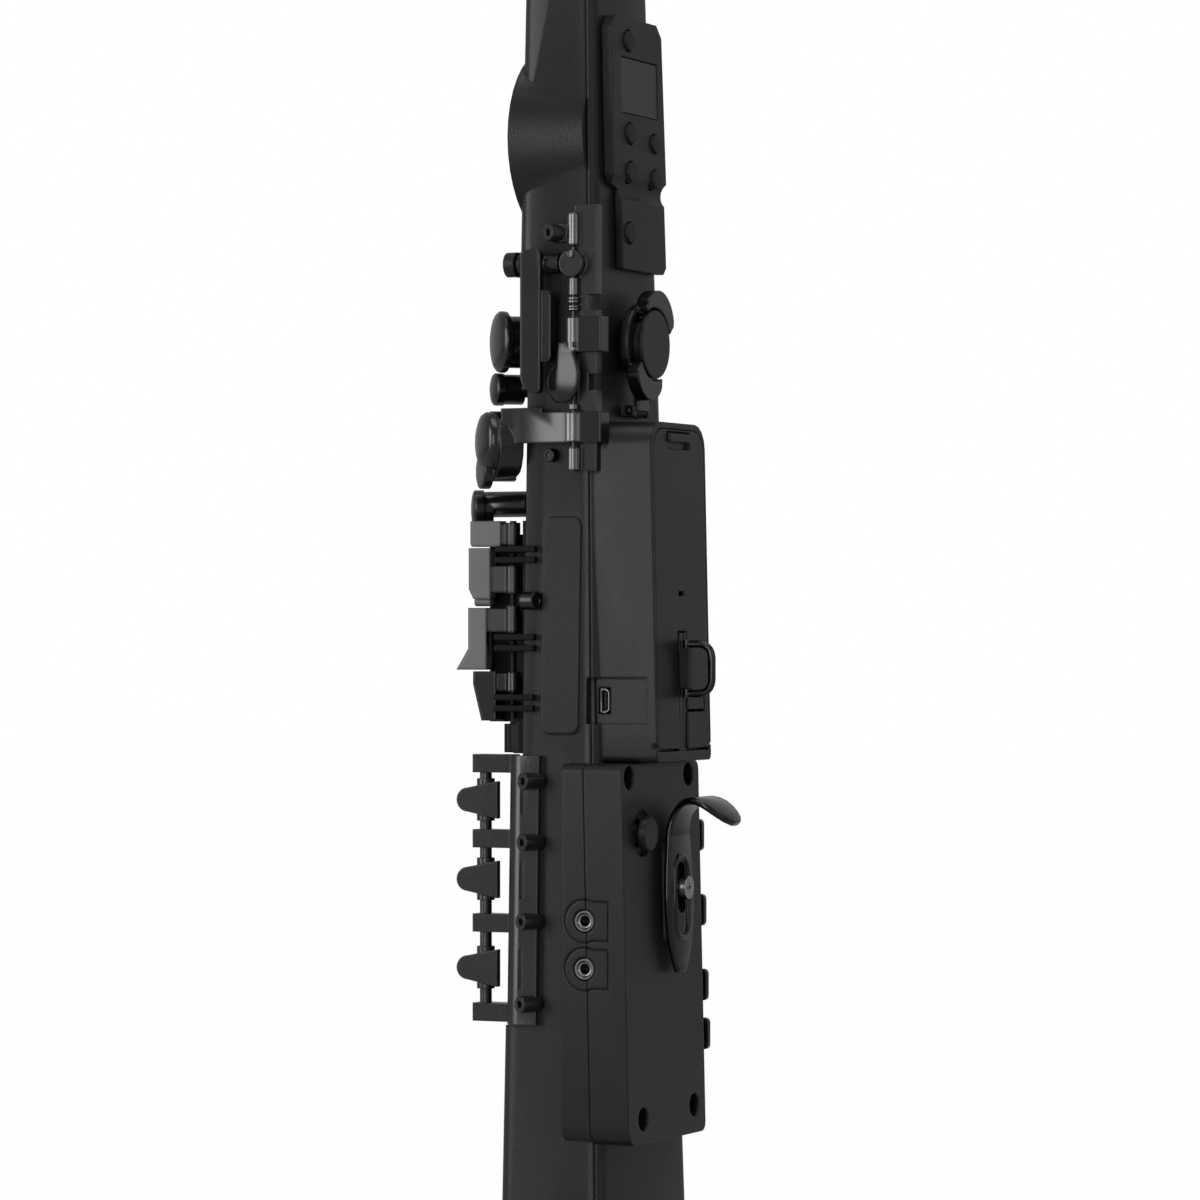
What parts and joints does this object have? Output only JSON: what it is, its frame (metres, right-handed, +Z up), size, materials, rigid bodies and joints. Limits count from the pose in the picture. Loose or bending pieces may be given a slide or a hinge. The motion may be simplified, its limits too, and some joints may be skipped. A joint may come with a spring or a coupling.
{
  "type": "digital wind controller",
  "caption": "Straight black electronic wind controller with saxophone-style keys, speaker drum, battery bay, jacks, thumb hook and flared bell.",
  "frame": {"origin": "pivot of the strap ring, on the middle plane of the instrument", "axes": "+Z up along the body towards the mouthpiece, -Y to the front where the keys are, +X to the player's left"},
  "size_m": [0.092, 0.0988, 0.7245],
  "materials": {
    "satin_black": "satin moulded",
    "gloss_black": "polished",
    "bright_steel": "bright",
    "dark_steel": "dark plated",
    "window_glass": "clear over a dark display",
    "cane": "scraped cane",
    "board_green": "solder mask"
  },
  "bodies": {
    "wind_controller": {"front_shell": "satin_black", "rear_shell": "satin_black", "bell": "satin_black", "neck": "satin_black", "speaker": "dark_steel", "speaker_grille": "dark_steel", "main_board": "board_green", "mouthpiece": "gloss_black", "reed": "cane", "ligature": "bright_steel", "battery_cell_1": "dark_steel", "battery_cell_2": "dark_steel", "battery_cell_3": "dark_steel", "battery_cell_4": "dark_steel", "strap_plate": "satin_black", "usb_port": "bright_steel", "phones_jack": "dark_steel", "aux_jack": "dark_steel", "control_panel": "satin_black", "display_window": "window_glass", "thumb_rest": "satin_black", "thumb_screw": "bright_steel", "palm_key_rail": "satin_black", "palm_key_rod": "bright_steel", "lh_stack_rail": "satin_black", "table_bracket": "satin_black", "rh_key_bracket": "satin_black", "side_key_rail": "satin_black"},
    "battery_cover_body": {"battery_cover": "satin_black"},
    "strap_ring_body": {"strap_ring": "dark_steel"},
    "thumb_hook_body": {"thumb_hook": "gloss_black"},
    "analog_controller_body": {"analog_controller": "satin_black"},
    "octave_key_body": {"octave_key": "gloss_black"},
    "panel_button_1_body": {"panel_button_1": "satin_black"},
    "panel_button_2_body": {"panel_button_2": "satin_black"},
    "panel_button_3_body": {"panel_button_3": "satin_black"},
    "panel_button_4_body": {"panel_button_4": "satin_black"},
    "panel_button_5_body": {"panel_button_5": "satin_black"},
    "panel_button_6_body": {"panel_button_6": "satin_black"},
    "palm_spoon_key_body": {"palm_spoon_key": "gloss_black"},
    "palm_paddle_key_body": {"palm_paddle_key": "gloss_black"},
    "left_middle_key_body": {"left_middle_key": "gloss_black"},
    "left_index_key_body": {"left_index_key": "gloss_black"},
    "left_bis_key_body": {"left_bis_key": "gloss_black"},
    "left_ring_key_body": {"left_ring_key": "gloss_black"},
    "table_g_sharp_key_body": {"table_g_sharp_key": "gloss_black"},
    "table_c_sharp_key_body": {"table_c_sharp_key": "gloss_black"},
    "table_b_key_body": {"table_b_key": "gloss_black"},
    "table_b_flat_key_body": {"table_b_flat_key": "gloss_black"},
    "right_lever_f_body": {"right_lever_f": "gloss_black"},
    "right_lever_e_body": {"right_lever_e": "gloss_black"},
    "right_lever_d_body": {"right_lever_d": "gloss_black"},
    "side_key_1_body": {"side_key_1": "gloss_black"},
    "side_key_2_body": {"side_key_2": "gloss_black"},
    "side_key_3_body": {"side_key_3": "gloss_black"},
    "side_key_4_body": {"side_key_4": "gloss_black"},
    "low_e_flat_key_body": {"low_e_flat_key": "gloss_black"},
    "low_c_key_body": {"low_c_key": "gloss_black"}
  },
  "joints": [
    {"name": "battery_cover_hinge", "type": "hinge", "parent": "wind_controller", "child": "battery_cover_body", "pos_m": [0, -0.0018, -0.0252], "axis": [1, 0, 0], "range_deg": [-70, 0]},
    {"name": "strap_ring_hinge", "type": "hinge", "parent": "wind_controller", "child": "strap_ring_body", "pos_m": [0, 0, 0], "axis": [0, 0, 1], "range_deg": [-60, 60]},
    {"name": "thumb_hook_slide", "type": "slide", "parent": "wind_controller", "child": "thumb_hook_body", "axis": [0, -0.0223, 0.9998], "range_m": [-0.006, 0.006]},
    {"name": "analog_controller_hinge", "type": "hinge", "parent": "wind_controller", "child": "analog_controller_body", "pos_m": [0.0215, -0.0112, -0.0537], "axis": [1, 0, 0], "range_deg": [-10, 10], "stiffness_Nm_per_rad": 0.05},
    {"name": "octave_key_hinge", "type": "hinge", "parent": "wind_controller", "child": "octave_key_body", "pos_m": [0, -0.018, 0.0852], "axis": [1, 0, 0], "range_deg": [0, 4], "stiffness_Nm_per_rad": 0.15, "springref_deg": -4.01},
    {"name": "panel_button_1_slide", "type": "slide", "parent": "wind_controller", "child": "panel_button_1_body", "axis": [0, -1, 0], "range_m": [0, 0.0008], "stiffness_N_per_m": 300, "springref_m": -0.0006},
    {"name": "panel_button_2_slide", "type": "slide", "parent": "wind_controller", "child": "panel_button_2_body", "axis": [0, -1, 0], "range_m": [0, 0.0008], "stiffness_N_per_m": 300, "springref_m": -0.0006},
    {"name": "panel_button_3_slide", "type": "slide", "parent": "wind_controller", "child": "panel_button_3_body", "axis": [0, -1, 0], "range_m": [0, 0.0008], "stiffness_N_per_m": 300, "springref_m": -0.0006},
    {"name": "panel_button_4_slide", "type": "slide", "parent": "wind_controller", "child": "panel_button_4_body", "axis": [0, -1, 0], "range_m": [0, 0.0008], "stiffness_N_per_m": 300, "springref_m": -0.0006},
    {"name": "panel_button_5_slide", "type": "slide", "parent": "wind_controller", "child": "panel_button_5_body", "axis": [0, -1, 0], "range_m": [0, 0.0008], "stiffness_N_per_m": 300, "springref_m": -0.0006},
    {"name": "panel_button_6_slide", "type": "slide", "parent": "wind_controller", "child": "panel_button_6_body", "axis": [0, -1, 0], "range_m": [0, 0.0008], "stiffness_N_per_m": 300, "springref_m": -0.0006},
    {"name": "palm_spoon_key_hinge", "type": "hinge", "parent": "wind_controller", "child": "palm_spoon_key_body", "pos_m": [0.03047, -0.0269, 0.1098], "axis": [0, 0, 1], "range_deg": [-6, 0], "stiffness_Nm_per_rad": 0.1, "springref_deg": 4.01},
    {"name": "palm_paddle_key_hinge", "type": "hinge", "parent": "wind_controller", "child": "palm_paddle_key_body", "pos_m": [0.03027, -0.0392, 0.1328], "axis": [0, 1, 0], "range_deg": [0, 2.5], "stiffness_Nm_per_rad": 0.15, "springref_deg": -4.01},
    {"name": "left_middle_key_hinge", "type": "hinge", "parent": "wind_controller", "child": "left_middle_key_body", "pos_m": [0.03047, -0.0269, 0.0798], "axis": [0, 0, 1], "range_deg": [-4, 0], "stiffness_Nm_per_rad": 0.15, "springref_deg": 4.01},
    {"name": "left_index_key_hinge", "type": "hinge", "parent": "wind_controller", "child": "left_index_key_body", "pos_m": [0.002, -0.0522, 0.1098], "axis": [0, 0, 1], "range_deg": [0, 4], "stiffness_Nm_per_rad": 0.1, "springref_deg": -4.01},
    {"name": "left_bis_key_hinge", "type": "hinge", "parent": "wind_controller", "child": "left_bis_key_body", "pos_m": [0.002, -0.0522, 0.0938], "axis": [0, 0, 1], "range_deg": [0, 4], "stiffness_Nm_per_rad": 0.1, "springref_deg": -4.01},
    {"name": "left_ring_key_hinge", "type": "hinge", "parent": "wind_controller", "child": "left_ring_key_body", "pos_m": [0.002, -0.0522, 0.0548], "axis": [0, 0, 1], "range_deg": [0, 4], "stiffness_Nm_per_rad": 0.1, "springref_deg": -4.01},
    {"name": "table_g_sharp_key_hinge", "type": "hinge", "parent": "wind_controller", "child": "table_g_sharp_key_body", "pos_m": [0.02351, -0.0522, 0.0438], "axis": [0, 0, 1], "range_deg": [-5, 0], "stiffness_Nm_per_rad": 0.1, "springref_deg": 4.01},
    {"name": "table_c_sharp_key_hinge", "type": "hinge", "parent": "wind_controller", "child": "table_c_sharp_key_body", "pos_m": [0.02351, -0.0522, 0.0288], "axis": [0, 0, 1], "range_deg": [-5, 0], "stiffness_Nm_per_rad": 0.1, "springref_deg": 4.01},
    {"name": "table_b_key_hinge", "type": "hinge", "parent": "wind_controller", "child": "table_b_key_body", "pos_m": [0.02351, -0.0522, 0.0158], "axis": [0, 0, 1], "range_deg": [-5, 0], "stiffness_Nm_per_rad": 0.1, "springref_deg": 4.01},
    {"name": "table_b_flat_key_hinge", "type": "hinge", "parent": "wind_controller", "child": "table_b_flat_key_body", "pos_m": [0.02351, -0.0522, -0.0052], "axis": [0, 0, 1], "range_deg": [-5, 0], "stiffness_Nm_per_rad": 0.1, "springref_deg": 4.01},
    {"name": "right_lever_f_hinge", "type": "hinge", "parent": "wind_controller", "child": "right_lever_f_body", "pos_m": [0.02692, -0.0606, -0.0432], "axis": [0, 0, 1], "range_deg": [-5, 0], "stiffness_Nm_per_rad": 0.1, "springref_deg": 4.01},
    {"name": "right_lever_e_hinge", "type": "hinge", "parent": "wind_controller", "child": "right_lever_e_body", "pos_m": [0.02692, -0.0606, -0.0694], "axis": [0, 0, 1], "range_deg": [-5, 0], "stiffness_Nm_per_rad": 0.1, "springref_deg": 4.01},
    {"name": "right_lever_d_hinge", "type": "hinge", "parent": "wind_controller", "child": "right_lever_d_body", "pos_m": [0.02692, -0.0606, -0.0986], "axis": [0, 0, 1], "range_deg": [-5, 0], "stiffness_Nm_per_rad": 0.1, "springref_deg": 4.01},
    {"name": "side_key_1_hinge", "type": "hinge", "parent": "wind_controller", "child": "side_key_1_body", "pos_m": [-0.0375, -0.0272, -0.0564], "axis": [0, 0, 1], "range_deg": [-4, 0], "stiffness_Nm_per_rad": 0.1, "springref_deg": 4.01},
    {"name": "side_key_2_hinge", "type": "hinge", "parent": "wind_controller", "child": "side_key_2_body", "pos_m": [-0.0375, -0.0272, -0.0818], "axis": [0, 0, 1], "range_deg": [-4, 0], "stiffness_Nm_per_rad": 0.1, "springref_deg": 4.01},
    {"name": "side_key_3_hinge", "type": "hinge", "parent": "wind_controller", "child": "side_key_3_body", "pos_m": [-0.0375, -0.0272, -0.1072], "axis": [0, 0, 1], "range_deg": [-4, 0], "stiffness_Nm_per_rad": 0.1, "springref_deg": 4.01},
    {"name": "side_key_4_hinge", "type": "hinge", "parent": "wind_controller", "child": "side_key_4_body", "pos_m": [-0.0375, -0.0272, -0.1238], "axis": [0, 0, 1], "range_deg": [-4, 0], "stiffness_Nm_per_rad": 0.1, "springref_deg": 4.01},
    {"name": "low_e_flat_key_hinge", "type": "hinge", "parent": "wind_controller", "child": "low_e_flat_key_body", "pos_m": [-0.012, -0.0558, -0.1312], "axis": [1, 0, 0], "range_deg": [0, 5], "stiffness_Nm_per_rad": 0.1, "springref_deg": -4.01},
    {"name": "low_c_key_hinge", "type": "hinge", "parent": "wind_controller", "child": "low_c_key_body", "pos_m": [-0.012, -0.0558, -0.1462], "axis": [1, 0, 0], "range_deg": [0, 5], "stiffness_Nm_per_rad": 0.1, "springref_deg": -4.01}
  ]
}
